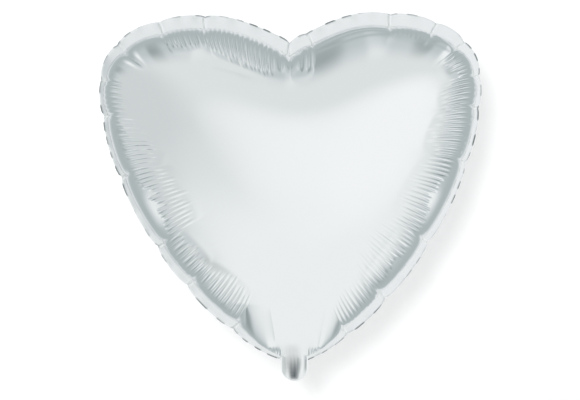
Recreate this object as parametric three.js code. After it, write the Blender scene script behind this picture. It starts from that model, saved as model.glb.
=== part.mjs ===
// Heart-shaped foil balloon, inflated: two heart-cut film panels welded round their rim, a short filling
// tail that folds at the neck, and a flat self-sealing valve sleeve inside.
// Millimetres. +Z up through the lobes, the front faces -Y, and the origin is the fold at the neck,
// where a ribbon or a stick clip holds the balloon.
import * as THREE from "three";

// ---- Heart outline, along the weld line ----
const SEAM_WIDTH = 370; // across both lobes
const LOBE_HEIGHT = 333; // top of each lobe
const LOBE_OFFSET = 84; // from the middle to the top of a lobe
const SHOULDER_DROP = 58; // from the lobes' tops down to the widest place
const NOTCH_DEPTH = 27; // from the lobes' tops down to the notch between them
// How full each stretch of the outline is: the reach of its curve handles as a share of the stretch.
const TIP_FULLNESS = 0.39; // of the shoulder height, leaving the neck
const TIP_ANGLE = THREE.MathUtils.degToRad(25); // above the horizontal, leaving the neck
const FLANK_FULLNESS = 0.36; // of the shoulder height, below the widest place
const SHOULDER_FULLNESS = 0.53; // of the rise from the widest place to the lobe's top
const LOBE_FULLNESS = 0.75; // of the run from the lobe's top to the widest place
const NOTCH_FULLNESS = 0.35; // of the run from the lobe's top to the notch
const NOTCH_ANGLE = THREE.MathUtils.degToRad(22); // of the weld line at the notch, above the horizontal

// ---- Inflated depth ----
const DEPTH = 168; // front to back
const TIP_TAPER = 110; // height over which the domes thin out towards the neck
const PROFILE_POWER = 1.5; // of the profile that film which can't stretch takes under pressure

// ---- Film, weld and rim ----
const FILM = 0.8; // wall of the solids that stand for the film
const WELD = 0.6; // thickness of the fused layer between the two films
const GAP = 0.3; // between pieces that touch
const RIM_OVER_LOBES = 13; // how far the welded rim reaches past the weld line, over the lobes
const RIM_AT_SIDES = 5; // and along the sides, where the real rim curls back
const RIM_AT_NECK = 3.5; // and beside the neck

// ---- Tail ----
const NECK_WIDTH = 27; // over both welds
const TAIL_LENGTH = 21; // from the fold to the bottom of its rounded end
const FOLD_CLEARANCE = 1; // from the fold to the tail's top edge
const LIP = 1.2; // height of the straight lip under each dome at the neck
const NECK_LIFT = 2.2; // how far each panel arches off the weld plane at the neck
const TAIL_LIFT_AT_FOLD = 0.6; // the same for each tail ply, at the fold
const TAIL_LIFT_AT_MOUTH = 3.2; // and at the filling mouth

// ---- Valve sleeve ----
const VALVE_CLEARANCE = 2; // beside the sleeve, as it passes the neck
const VALVE_LENGTH = 100;
const VALVE_FILM = 0.5;
const VALVE_WELD_WIDTH = 1.5;
const VALVE_WELD = 0.3; // thickness of the sleeve's side welds and of its release coat
const COAT_CLEARANCE = 1.5; // between the coat and the sleeve's side welds
const COAT_LENGTH = 12;

// ---- How finely the shells are faceted ----
const FLANK_STEPS = 15;
const SHOULDER_STEPS = 8;
const LOBE_STEPS = 7;
const NECK_STEPS = 6;
const OUTER_ROWS = 9;
const INNER_ROWS = 7;
const ROW_CROWDING = 1.9; // above 1, rows crowd towards the weld, where a dome is steepest
const TAIL_COLUMNS = 18;
const TAIL_ROWS = 6;
const CREST_TRIES = 60; // places up the middle that are tried for the fullest point

const SHOULDER_HEIGHT = LOBE_HEIGHT - SHOULDER_DROP;
const NOTCH_HEIGHT = LOBE_HEIGHT - NOTCH_DEPTH;
const HALF_GAP = WELD / 2 + GAP; // from the weld plane to the inner face of a panel
const OPENING_HALF = NECK_WIDTH / 2 - RIM_AT_NECK; // half of the gas way between the neck's welds
const VALVE_WIDTH = 2 * (OPENING_HALF - VALVE_CLEARANCE);
const COAT_WIDTH = VALVE_WIDTH - 2 * (VALVE_WELD_WIDTH + COAT_CLEARANCE);
// The tail's top corner swings on this radius as the tail folds, and the panels stop short of it.
const FOLD_RADIUS = Math.hypot(HALF_GAP + TAIL_LIFT_AT_FOLD + FILM, FOLD_CLEARANCE);
const NECK_EDGE = FOLD_RADIUS + GAP; // height of the panels' bottom edge

const FOIL = { color: 0xdfe4e3, metalness: 1, roughness: 0.18 };
const FUSED = { color: 0xc9d0d0, metalness: 0.6, roughness: 0.4 };
const CLEAR_FILM = { color: 0xe9edf0, metalness: 0, roughness: 0.3 };
const COAT = { color: 0x9fb4c8, metalness: 0, roughness: 0.7 };

// ---------------------------------------------------------------- outline

// The weld line from the right of the neck, over both lobes, to the left of the neck, as points in X, Z.
function heartWeldLine() {
  const start = new THREE.Vector2(OPENING_HALF, NECK_EDGE + LIP);
  const widest = new THREE.Vector2(SEAM_WIDTH / 2, SHOULDER_HEIGHT);
  const crown = new THREE.Vector2(LOBE_OFFSET, LOBE_HEIGHT);
  const cleft = new THREE.Vector2(0, NOTCH_HEIGHT);
  const zero = new THREE.Vector2();
  const tipHandle = new THREE.Vector2(TIP_FULLNESS * SHOULDER_HEIGHT, 0).rotateAround(zero, TIP_ANGLE);
  const notchHandle = new THREE.Vector2(NOTCH_FULLNESS * LOBE_OFFSET, 0);

  const flank = new THREE.CubicBezierCurve(
    start,
    start.clone().add(tipHandle),
    new THREE.Vector2(widest.x, widest.y - FLANK_FULLNESS * SHOULDER_HEIGHT),
    widest,
  );
  const shoulder = new THREE.CubicBezierCurve(
    widest,
    new THREE.Vector2(widest.x, widest.y + SHOULDER_FULLNESS * (crown.y - widest.y)),
    new THREE.Vector2(crown.x + LOBE_FULLNESS * (widest.x - crown.x), crown.y),
    crown,
  );
  const notch = new THREE.CubicBezierCurve(
    crown,
    crown.clone().sub(notchHandle),
    cleft.clone().add(notchHandle.clone().rotateAround(zero, NOTCH_ANGLE)),
    cleft,
  );
  const right = [
    ...flank.getPoints(FLANK_STEPS).slice(0, -1),
    ...shoulder.getPoints(SHOULDER_STEPS).slice(0, -1),
    ...notch.getPoints(LOBE_STEPS),
  ];
  const left = right.slice(0, -1).reverse();
  return [...right, ...left.map((p) => new THREE.Vector2(-p.x, p.y))];
}

// Unit vectors that point out of a closed outline, which runs with its inside on the left.
function outwards(ring) {
  return ring.map((_, i) => {
    const before = ring[(i + ring.length - 1) % ring.length];
    const along = ring[(i + 1) % ring.length].clone().sub(before).normalize();
    return new THREE.Vector2(along.y, -along.x);
  });
}

// The cut edge of the rim: widest where the outline faces up, over the lobes.
function rimAround(line) {
  const normals = outwards(line);
  return line.map((point, i) => {
    const end = i === 0 || i === line.length - 1;
    if (end) {
      return new THREE.Vector2(Math.sign(point.x) * (NECK_WIDTH / 2), NECK_EDGE);
    }
    const facingUp = Math.max(0, normals[i].y);
    const reach = THREE.MathUtils.lerp(RIM_AT_SIDES, RIM_OVER_LOBES, facingUp);
    return point.clone().addScaledVector(normals[i], reach);
  });
}

// Points across the neck from its left side back to its right side, which close an outline.
function neckPoints(half, height) {
  const across = Array.from({ length: NECK_STEPS - 1 }, (_, i) => (2 * (i + 1)) / NECK_STEPS - 1);
  return across.map((share) => new THREE.Vector2(share * half, height));
}

const weldLine = heartWeldLine();
const weldRing = [...weldLine, ...neckPoints(OPENING_HALF, NECK_EDGE + LIP)];
const rimLine = rimAround(weldLine);
const rimRing = [...rimLine, ...neckPoints(NECK_WIDTH / 2, NECK_EDGE)];

// A closed outline moved inwards by a distance.
function inset(ring, distance) {
  const normals = outwards(ring);
  return ring.map((point, i) => point.clone().addScaledVector(normals[i], -distance));
}

// ---------------------------------------------------------------- dome

// A smooth stand-in for the distance from a point to a closed outline: the sum of 1 / r^3 along every
// edge, which has a closed form, turned back into a length.
function smoothDistance(ring, point) {
  let sum = 0;
  ring.forEach((a, i) => {
    const b = ring[(i + 1) % ring.length];
    const edge = b.clone().sub(a);
    const along = edge.clone().normalize();
    const toStart = a.clone().sub(point);
    const from = toStart.dot(along);
    const to = from + edge.length();
    const off = Math.max(toStart.lengthSq() - from * from, 1e-6);
    sum += (to / Math.sqrt(to * to + off) - from / Math.sqrt(from * from + off)) / off;
  });
  return Math.sqrt(2 / sum);
}

// Fullness of a dome at a point: nothing on the outline, and less in the narrow tip.
function fullness(ring, point) {
  return smoothDistance(ring, point) * Math.tanh(point.y / TIP_TAPER);
}

const crest = Array.from({ length: CREST_TRIES }, (_, i) => {
  return new THREE.Vector2(0, NOTCH_HEIGHT * THREE.MathUtils.lerp(0.2, 0.8, i / CREST_TRIES));
});
const fullest = crest.reduce((best, p) => (fullness(weldRing, p) > fullness(weldRing, best) ? p : best));

// Height of a dome over its weld plane, standing straight up at the weld and nearly flat in the middle.
function domeHeight(ring, point, rise, greatest) {
  const share = Math.min(1, fullness(ring, point) / greatest);
  return rise * Math.sqrt(1 - Math.pow(1 - share, PROFILE_POWER));
}

// How far a panel arches off the weld plane at the neck, where gas and valve pass.
function neckArch(point) {
  const across = Math.min(1, Math.abs(point.x) / OPENING_HALF);
  const fade = 1 - THREE.MathUtils.smoothstep(point.y, NECK_EDGE + LIP, NECK_EDGE + NECK_WIDTH);
  return NECK_LIFT * fade * (1 - Math.pow(across, 4));
}

// ---------------------------------------------------------------- meshes from rings

// One closed body from rings of points, which lead from one end to the other, with a fan over each end.
function skin(rings, endPoints) {
  const count = rings[0].length;
  const points = [...rings.flat(), ...endPoints];
  const [first, last] = [points.length - 2, points.length - 1];
  const faces = [];
  const corner = (row, i) => row * count + (i % count);
  for (let row = 0; row + 1 < rings.length; row += 1) {
    for (let i = 0; i < count; i += 1) {
      faces.push([corner(row, i), corner(row, i + 1), corner(row + 1, i + 1)]);
      faces.push([corner(row, i), corner(row + 1, i + 1), corner(row + 1, i)]);
    }
  }
  for (let i = 0; i < count; i += 1) {
    faces.push([first, corner(0, i + 1), corner(0, i)]);
    faces.push([last, corner(rings.length - 1, i), corner(rings.length - 1, i + 1)]);
  }
  const geometry = new THREE.BufferGeometry().setFromPoints(points);
  geometry.setIndex(faces.flat());
  geometry.computeVertexNormals();
  return geometry;
}

// The middle of a ring of points.
function centreOf(ring) {
  return ring.reduce((sum, p) => sum.add(p), new THREE.Vector3()).divideScalar(ring.length);
}

// The same solid on the other side of the weld plane.
function mirrored(geometry) {
  const copy = geometry.clone().scale(1, -1, 1);
  const index = copy.getIndex();
  for (let i = 0; i < index.count; i += 3) {
    const swapped = index.getX(i + 1);
    index.setX(i + 1, index.getX(i + 2));
    index.setX(i + 2, swapped);
  }
  copy.computeVertexNormals();
  return copy;
}

// Rings of one face of a panel, from its weld line in to the middle of the dome.
function domeRings(ring, rise, plane, rows) {
  const greatest = fullness(ring, fullest);
  const rings = [];
  for (let row = 0; row < rows; row += 1) {
    const inwards = Math.pow(row / rows, ROW_CROWDING);
    rings.push(
      ring.map((edge) => {
        const p = edge.clone().lerp(fullest, inwards);
        const height = row === 0 ? 0 : domeHeight(ring, p, rise, greatest);
        return new THREE.Vector3(p.x, -plane - Math.max(height, neckArch(p)), p.y);
      }),
    );
  }
  return rings;
}

// ---------------------------------------------------------------- pieces

// A heart-cut film panel: the flat rim outside the weld line and the dome inside it.
function panelGeometry() {
  const rise = DEPTH / 2 - HALF_GAP - FILM;
  const onRim = (plane) => rimRing.map((p) => new THREE.Vector3(p.x, -plane - neckArch(p), p.y));
  const outer = domeRings(weldRing, rise, HALF_GAP + FILM, OUTER_ROWS);
  const inner = domeRings(inset(weldRing, FILM), rise, HALF_GAP, INNER_ROWS);
  const rings = [...inner.reverse(), onRim(HALF_GAP), onRim(HALF_GAP + FILM), ...outer];
  const middle = (y) => new THREE.Vector3(fullest.x, -y, fullest.y);
  return skin(rings, [middle(HALF_GAP + rise), middle(HALF_GAP + FILM + rise)]);
}

// The fused band that joins both rims, from one side of the neck round to the other.
function seamWeldGeometry() {
  const section = (i) => {
    const out = rimLine[i];
    const inn = weldLine[i];
    return [
      new THREE.Vector3(inn.x, -WELD / 2, inn.y),
      new THREE.Vector3(out.x, -WELD / 2, out.y),
      new THREE.Vector3(out.x, WELD / 2, out.y),
      new THREE.Vector3(inn.x, WELD / 2, inn.y),
    ];
  };
  const rings = rimLine.map((_, i) => section(i));
  return skin(rings, [centreOf(rings[0]), centreOf(rings[rings.length - 1])]);
}

const TAIL_HALF = NECK_WIDTH / 2;
const TAIL_STRAIGHT = TAIL_LENGTH - TAIL_HALF; // straight side of the tail above its rounded end

// Height of the tail's rounded edge at a place across it.
function tailBottom(x) {
  return -TAIL_STRAIGHT - Math.sqrt(Math.max(0, TAIL_HALF * TAIL_HALF - x * x));
}

// Half of the gap between the tail plies at a point.
function tailOpening(x, z) {
  const across = Math.min(1, Math.abs(x) / OPENING_HALF);
  const down = Math.min(1, -z / TAIL_LENGTH);
  const lift = THREE.MathUtils.lerp(TAIL_LIFT_AT_FOLD, TAIL_LIFT_AT_MOUTH, down);
  return HALF_GAP + lift * (1 - across * across);
}

// One ply of the filling tail: flat beside its welds and arched between them, with a rounded end.
function tailPlyGeometry() {
  const rings = [];
  for (let i = 0; i <= TAIL_COLUMNS; i += 1) {
    const x = TAIL_HALF * Math.sin((Math.PI / 2) * (1 - (2 * i) / TAIL_COLUMNS));
    const heights = Array.from({ length: TAIL_ROWS + 1 }, (_, j) => {
      return THREE.MathUtils.lerp(-FOLD_CLEARANCE, tailBottom(x), j / TAIL_ROWS);
    });
    const inner = heights.map((z) => new THREE.Vector3(x, -tailOpening(x, z), z));
    const outer = heights.map((z) => new THREE.Vector3(x, -tailOpening(x, z) - FILM, z));
    rings.push([...inner, ...outer.reverse()]);
  }
  return skin(rings, [centreOf(rings[0]), centreOf(rings[rings.length - 1])]);
}

// The weld down one side of the tail. It stops where the rounded end leaves the filling mouth open.
function tailWeldGeometry(side) {
  const mouthAngle = Math.acos(OPENING_HALF / TAIL_HALF);
  const shape = new THREE.Shape();
  shape.moveTo(OPENING_HALF, -FOLD_CLEARANCE);
  shape.lineTo(OPENING_HALF, tailBottom(OPENING_HALF));
  shape.absarc(0, -TAIL_STRAIGHT, TAIL_HALF, -mouthAngle, 0, false);
  shape.lineTo(TAIL_HALF, -FOLD_CLEARANCE);
  const geometry = new THREE.ExtrudeGeometry(shape, { depth: WELD, bevelEnabled: false, curveSegments: 6 });
  geometry.rotateX(Math.PI / 2).translate(0, WELD / 2, 0);
  return side > 0 ? geometry : geometry.rotateZ(Math.PI);
}

const VALVE_BOTTOM = NECK_EDGE + GAP;
const VALVE_PLANE = VALVE_WELD / 2 + GAP; // from the weld plane to the inner face of a valve film

// A flat strip of the valve sleeve: width by length, between two distances in front of the weld plane.
function stripGeometry(width, length, thickness, frontwards, aside = 0) {
  const geometry = new THREE.BoxGeometry(width, thickness, length);
  return geometry.translate(aside, -frontwards, VALVE_BOTTOM + length / 2);
}

// ---------------------------------------------------------------- the balloon

const balloon = new THREE.Group();
balloon.name = "foil_balloon";

function addPiece(group, name, geometry, look) {
  const mesh = new THREE.Mesh(geometry, new THREE.MeshStandardMaterial(look));
  mesh.name = name;
  group.add(mesh);
}

const envelope = new THREE.Group();
envelope.name = "envelope";
const panel = panelGeometry();
addPiece(envelope, "front_panel", panel, FOIL);
addPiece(envelope, "back_panel", mirrored(panel), FOIL);
addPiece(envelope, "seam_weld", seamWeldGeometry(), FUSED);
balloon.add(envelope);

const tail = new THREE.Group();
tail.name = "tail";
const ply = tailPlyGeometry();
addPiece(tail, "tail_front_ply", ply, FOIL);
addPiece(tail, "tail_back_ply", mirrored(ply), FOIL);
addPiece(tail, "tail_weld_right", tailWeldGeometry(1), FUSED);
addPiece(tail, "tail_weld_left", tailWeldGeometry(-1), FUSED);
balloon.add(tail);

const valve = new THREE.Group();
valve.name = "valve";
const valveFilmAt = VALVE_PLANE + VALVE_FILM / 2;
const valveWeldAside = (VALVE_WIDTH - VALVE_WELD_WIDTH) / 2;
const valveFilm = stripGeometry(VALVE_WIDTH, VALVE_LENGTH, VALVE_FILM, valveFilmAt);
addPiece(valve, "valve_front_film", valveFilm, CLEAR_FILM);
addPiece(valve, "valve_back_film", mirrored(valveFilm), CLEAR_FILM);
for (const [name, side] of [["valve_weld_right", 1], ["valve_weld_left", -1]]) {
  const weld = stripGeometry(VALVE_WELD_WIDTH, VALVE_LENGTH, VALVE_WELD, 0, side * valveWeldAside);
  addPiece(valve, name, weld, CLEAR_FILM);
}
addPiece(valve, "valve_release_coat", stripGeometry(COAT_WIDTH, COAT_LENGTH, VALVE_WELD, 0), COAT);
balloon.add(valve);

export default balloon;
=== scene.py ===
"""An inflated heart-shaped foil balloon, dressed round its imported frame.

Two silver film skins are drawn round the frame's panels and tail. Each one is laid out on columns that run
from its cut edge, over the weld, up the side wall and on to the middle of the dome, so that the creases
which gather the film can follow the columns. Lengths are in metres; MM turns millimetres into metres.
"""
import logging
import math
from dataclasses import dataclass, field, replace
from enum import Enum
from typing import Iterator

import bpy
import numpy as np
from mathutils import Matrix, Vector


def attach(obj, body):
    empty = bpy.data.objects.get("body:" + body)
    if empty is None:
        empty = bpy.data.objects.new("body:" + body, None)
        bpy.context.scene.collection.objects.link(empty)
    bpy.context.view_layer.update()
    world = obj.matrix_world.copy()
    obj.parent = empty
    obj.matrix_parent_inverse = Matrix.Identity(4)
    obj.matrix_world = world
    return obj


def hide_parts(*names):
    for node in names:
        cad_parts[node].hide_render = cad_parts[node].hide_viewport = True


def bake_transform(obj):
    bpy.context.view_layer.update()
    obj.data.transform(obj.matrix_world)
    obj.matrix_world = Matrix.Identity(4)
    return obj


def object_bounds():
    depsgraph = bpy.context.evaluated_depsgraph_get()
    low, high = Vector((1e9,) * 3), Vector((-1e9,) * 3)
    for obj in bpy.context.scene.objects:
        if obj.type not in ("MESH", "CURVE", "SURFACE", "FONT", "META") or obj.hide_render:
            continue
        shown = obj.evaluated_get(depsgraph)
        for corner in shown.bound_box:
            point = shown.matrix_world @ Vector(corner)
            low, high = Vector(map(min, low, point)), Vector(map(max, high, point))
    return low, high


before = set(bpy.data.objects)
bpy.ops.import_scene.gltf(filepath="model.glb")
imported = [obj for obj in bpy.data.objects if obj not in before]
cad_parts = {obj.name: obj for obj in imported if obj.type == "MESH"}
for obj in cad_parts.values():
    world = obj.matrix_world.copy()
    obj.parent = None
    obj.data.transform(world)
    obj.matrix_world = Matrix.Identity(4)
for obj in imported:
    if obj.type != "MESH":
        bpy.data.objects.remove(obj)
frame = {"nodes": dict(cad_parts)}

CAD_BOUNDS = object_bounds()
MM = 0.001
GRAIN_INPUTS = ("Peel Scale", "Cloud Scale")
LOG = logging.getLogger("foil_balloon")


class Face(Enum):
    """Which of the two films a skin is; the value is the direction along Y in which it swells."""

    FRONT = -1.0
    BACK = 1.0


class Gather(Enum):
    """How the film between two pinches takes up its spare length."""

    TEETH = "short regular creases across the shoulder"
    COMB = "long regular creases from the weld inwards"
    STREAKS = "a few soft grooves along the weld"
    PLAIN = "smooth film"


@dataclass(frozen=True)
class Stretch:
    """Film between one pinch of the rim and the next.

    The creases of a stretch start and stop at given lengths of film from the weld.
    """

    until: float  # run along the cut edge where the stretch ends at its next pinch
    gather: Gather
    start: float = 22.0
    stop: float = 55.0
    depth: float = 0.42
    pinch: float = 2.2  # how far the pinch at its end draws the rim in
    reach: float = 48.0  # length of film from the weld that the pinch's valley runs

    def scaled(self, unit: float) -> "Stretch":
        """Gives the same stretch with every length times a unit."""
        lengths = ("until", "start", "stop", "depth", "pinch", "reach")
        return replace(self, **{name: getattr(self, name) * unit for name in lengths})


# Millimetres, from the right of the neck over both lobes to the left of the neck.
STRETCHES = tuple(stretch.scaled(MM) for stretch in (
    Stretch(47, Gather.PLAIN, pinch=1.6, reach=26),
    Stretch(100, Gather.COMB, start=2, stop=60, depth=0.42, pinch=2.2),
    Stretch(171, Gather.TEETH, start=36, stop=88, depth=0.38, pinch=2.6),
    Stretch(259, Gather.TEETH, start=46, stop=86, depth=0.40, pinch=1.8),
    Stretch(315, Gather.TEETH, start=31, stop=86, depth=0.76, pinch=1.6),
    Stretch(348, Gather.TEETH, start=25, stop=80, depth=0.76, pinch=1.6),
    Stretch(387, Gather.TEETH, start=30, stop=64, depth=0.60, pinch=1.8),
    Stretch(421, Gather.STREAKS, depth=0.42, pinch=1.6),
    Stretch(468, Gather.COMB, start=2, stop=46, depth=0.50, pinch=1.8),
    Stretch(556, Gather.STREAKS, depth=0.60, pinch=0.7, reach=30),
    Stretch(574, Gather.COMB, start=6, stop=66, depth=0.92, pinch=2.6, reach=60),
    Stretch(663, Gather.COMB, start=1, stop=72, depth=1.00, pinch=1.8),
    Stretch(710, Gather.COMB, start=1, stop=58, depth=0.70, pinch=1.6),
    Stretch(759, Gather.PLAIN, pinch=1.8, reach=64),
    Stretch(799, Gather.PLAIN, pinch=1.2),
    Stretch(836, Gather.TEETH, start=8, stop=68, depth=0.66, pinch=2.0),
    Stretch(900, Gather.TEETH, start=42, stop=84, depth=0.80, pinch=2.2),
    Stretch(978, Gather.TEETH, start=56, stop=88, depth=0.86, pinch=2.6),
    Stretch(1027, Gather.COMB, start=16, stop=62, depth=0.70, pinch=2.4),
    Stretch(1091, Gather.COMB, start=24, stop=66, depth=0.86, pinch=2.6),
    Stretch(1147, Gather.PLAIN, pinch=1.6, reach=26),
))


@dataclass(frozen=True)
class SoftFold:
    """A shallow fold across the dome, between two places seen from the front."""

    start: tuple
    end: tuple
    depth: float
    width: float = 3.0

    def scaled(self, unit: float) -> "SoftFold":
        """Gives the same fold with every length times a unit."""
        ends = ([part * unit for part in place] for place in (self.start, self.end))
        return SoftFold(*ends, self.depth * unit, self.width * unit)


# Millimetres.
SOFT_FOLDS = tuple(fold.scaled(MM) for fold in (
    SoftFold((-168, 312), (-142, 291), 0.8, 2.4),
    SoftFold((-172, 246), (-148, 214), -0.7, 4.0),
    SoftFold((-148, 214), (-126, 206), 0.8),
    SoftFold((-16, 10), (-23, 58), -0.9, 3.5),
    SoftFold((-23, 58), (-62, 60), -0.6, 3.5),
    SoftFold((-90, 296), (-34, 281), 0.9, 9.0),
    SoftFold((128, 324), (146, 320), -0.7, 2.8),
    SoftFold((144, 321), (158, 308), -0.9, 2.6),
    SoftFold((158, 309), (161, 289), -0.8, 2.6),
    SoftFold((100, 128), (70, 86), 0.5, 4.0),
    SoftFold((24, 12), (34, 62), 0.5, 4.0),
))


def smoothstep(low: float, high: float, value: np.ndarray) -> np.ndarray:
    """Rises smoothly from 0 at low to 1 at high.

    Args:
        low: Value at and below which the result is 0.
        high: Value at and above which the result is 1.
        value: Values to look up.

    Returns:
        The smoothed shares, in the shape of value.
    """
    share = np.clip((value - low) / (high - low), 0.0, 1.0)
    return share * share * (3.0 - 2.0 * share)


def bezier(corners: list, steps: int) -> np.ndarray:
    """Points along a cubic curve.

    Args:
        corners: Its four control points.
        steps: How many points to give, both ends included.

    Returns:
        The points, one to a row.
    """
    t = np.linspace(0.0, 1.0, steps)[:, None]
    a, b, c, d = (np.asarray(corner, float) for corner in corners)
    return (1 - t) ** 3 * a + 3 * (1 - t) ** 2 * t * b + 3 * (1 - t) * t * t * c + t ** 3 * d


def runs_of(line: np.ndarray) -> np.ndarray:
    """Length along a line up to each of its points.

    Args:
        line: Points, one to a row.

    Returns:
        One length for each point, from 0.
    """
    return np.concatenate([[0.0], np.cumsum(np.linalg.norm(np.diff(line, axis=0), axis=1))])


def resampled(line: np.ndarray, count: int) -> np.ndarray:
    """Points at even steps along a line, with its last point left out.

    Args:
        line: Points, one to a row.
        count: How many points to give.

    Returns:
        The points, one to a row.
    """
    runs = runs_of(line)
    places = np.linspace(0.0, runs[-1], count, endpoint=False)
    return np.stack([np.interp(places, runs, line[:, k]) for k in range(line.shape[1])], axis=1)


def blurred_round(values: np.ndarray, width: float) -> np.ndarray:
    """Smooths values that run round a ring.

    Args:
        values: One row for each place round the ring.
        width: Standard deviation of the blur, in places.

    Returns:
        The smoothed values, in the same shape.
    """
    frequency = np.fft.fftfreq(len(values))
    gain = np.exp(-2.0 * (math.pi * frequency * width) ** 2)
    return np.fft.ifft(np.fft.fft(values, axis=0) * gain[:, None], axis=0).real


@dataclass
class CutEdge:
    """The edge that a film is cut to: a heart, and the filling tail under its tip.

    Each reach is the length of a curve's handle at the point that it is named after.
    """

    half_width: float = CAD_BOUNDS[1][0]
    lobe_height: float = CAD_BOUNDS[1][2]
    tail_bottom: float = CAD_BOUNDS[0][2]
    lobe_offset: float = 84 * MM
    shoulder_drop: float = 70.5 * MM
    notch_drop: float = 26.5 * MM
    neck_half: float = 13.5 * MM
    tip_reach: float = 107 * MM
    tip_angle: float = math.radians(25)
    flank_reach: float = 98 * MM
    shoulder_reach: float = 37 * MM
    lobe_reach: float = 79 * MM
    notch_reach: float = 29 * MM
    notch_angle: float = math.radians(22)

    def heart(self) -> np.ndarray:
        """Draws the heart from the right of the neck, over both lobes, to the left of the neck.

        Returns:
            X and Z of points along it, one to a row.
        """
        shoulder = np.array([self.half_width, self.lobe_height - self.shoulder_drop])
        crown = np.array([self.lobe_offset, self.lobe_height])
        notch = np.array([0.0, self.lobe_height - self.notch_drop])
        neck = np.array([self.neck_half, 0.0])
        tip = np.array([math.cos(self.tip_angle), math.sin(self.tip_angle)])
        slope = np.array([math.cos(self.notch_angle), math.sin(self.notch_angle)])
        along, up = np.array([1.0, 0.0]), np.array([0.0, 1.0])
        flank = [neck, neck + self.tip_reach * tip, shoulder - self.flank_reach * up, shoulder]
        lobe = [shoulder, shoulder + self.shoulder_reach * up, crown + self.lobe_reach * along, crown]
        dip = [crown, crown - self.notch_reach * along, notch + self.notch_reach * slope, notch]
        right = np.concatenate([bezier(flank, 400)[:-1], bezier(lobe, 200)[:-1], bezier(dip, 200)])
        return np.concatenate([right, right[-2::-1] * [-1.0, 1.0]])

    def tail(self) -> np.ndarray:
        """Draws the tail from the left of the neck, down and round, to the right of the neck.

        Returns:
            X and Z of points along it, one to a row.
        """
        straight = -self.tail_bottom - self.neck_half
        angles = np.linspace(math.pi, 2.0 * math.pi, 60)
        round_end = np.stack([np.cos(angles), np.sin(angles)], axis=1) * self.neck_half - [0.0, straight]
        side = np.array([self.neck_half, 0.0])
        return np.concatenate([[side * [-1.0, 1.0]], round_end, [side]])


@dataclass
class Layout:
    """Where each column of a skin starts, how it leaves the weld, and where all of them meet.

    Runs are lengths along the cut edge from the right of the neck, over both lobes, to its left.
    """

    edge: CutEdge
    columns: int = 1808
    tail_columns: int = 96
    smoothing: float = 10.0  # columns over which the direction of each is evened out
    neck_reach: float = 75 * MM  # run over which columns turn from the middle to square with the weld
    rim_over_lobes: float = 13 * MM
    rim_at_sides: float = 4.2 * MM
    rim_at_flanks: float = 8.0 * MM
    rim_at_neck: float = 3.5 * MM
    neck_line: float = 3.4 * MM
    opening_half: float = 12.3 * MM
    middle: tuple = (0.0, 190 * MM)
    turn: float = 0.20  # share of a column's length over which it keeps square to the weld
    turn_at_flanks: float = 0.36
    cut: np.ndarray = field(init=False)
    weld: np.ndarray = field(init=False)
    inward: np.ndarray = field(init=False)
    run: np.ndarray = field(init=False)
    run_length: float = field(init=False)
    from_neck: np.ndarray = field(init=False)
    on_tail: np.ndarray = field(init=False)

    def __post_init__(self) -> None:
        """Works out every column's two ends and direction."""
        heart = self.edge.heart()
        count = self.columns - self.tail_columns
        self.run_length = runs_of(heart)[-1]
        tail = resampled(self.edge.tail(), self.tail_columns)
        self.cut = np.concatenate([resampled(heart, count), tail])
        self.run = np.concatenate([
            np.linspace(0.0, self.run_length, count, endpoint=False),
            np.full(self.tail_columns, self.run_length),
        ])
        self.from_neck = np.minimum(self.run, self.run_length - self.run)
        self.on_tail = np.arange(self.columns) >= count
        along = np.roll(self.cut, -1, axis=0) - np.roll(self.cut, 1, axis=0)
        inward = np.stack([-along[:, 1], along[:, 0]], axis=1)
        inward /= np.linalg.norm(inward, axis=1, keepdims=True)
        inward = blurred_round(inward, self.smoothing)
        inward /= np.linalg.norm(inward, axis=1, keepdims=True)
        homeward = np.array(self.middle) - self.cut
        homeward /= np.linalg.norm(homeward, axis=1, keepdims=True)
        inward = homeward + (inward - homeward) * smoothstep(0.0, self.neck_reach, self.from_neck[:, None])
        self.inward = inward / np.linalg.norm(inward, axis=1, keepdims=True)
        self.weld = self.cut + self.inward * self.rim()[:, None]
        across = np.linspace(-1.0, 1.0, self.tail_columns)
        self.weld[self.on_tail, 0] = self.opening_half * across
        self.weld[self.on_tail, 1] = self.neck_line

    def rim(self) -> np.ndarray:
        """Widens the welded rim over the lobes and narrows it at the neck.

        Returns:
            Its width at each column.
        """
        up = np.clip(-self.inward[:, 1], 0.0, 1.0)
        down = np.clip(self.inward[:, 1], 0.0, 1.0)
        width = self.rim_at_sides + (self.rim_over_lobes - self.rim_at_sides) * up
        width = width + (self.rim_at_flanks - self.rim_at_sides) * smoothstep(0.35, 0.75, down)
        return width + (self.rim_at_neck - width) * (1.0 - smoothstep(6 * MM, 66 * MM, self.from_neck))

    def paths(self, share: np.ndarray) -> np.ndarray:
        """Points on the columns, seen from the front.

        Args:
            share: How far along its column each point is, with a row a step and an entry a column.

        Returns:
            X and Z of each point, in an array of steps by columns by two.
        """
        middle = np.array(self.middle)
        length = np.linalg.norm(middle - self.weld, axis=1, keepdims=True)
        facing_up = smoothstep(0.15, 0.5, self.inward[:, 1:])
        flank = facing_up * smoothstep(35 * MM, 95 * MM, np.abs(self.weld[:, :1]))
        turn = self.turn + (self.turn_at_flanks - self.turn) * flank
        bend = self.weld + self.inward * length * turn
        t = share[..., None]
        return (1 - t) ** 2 * self.weld + 2 * (1 - t) * t * bend + t * t * middle


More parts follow.
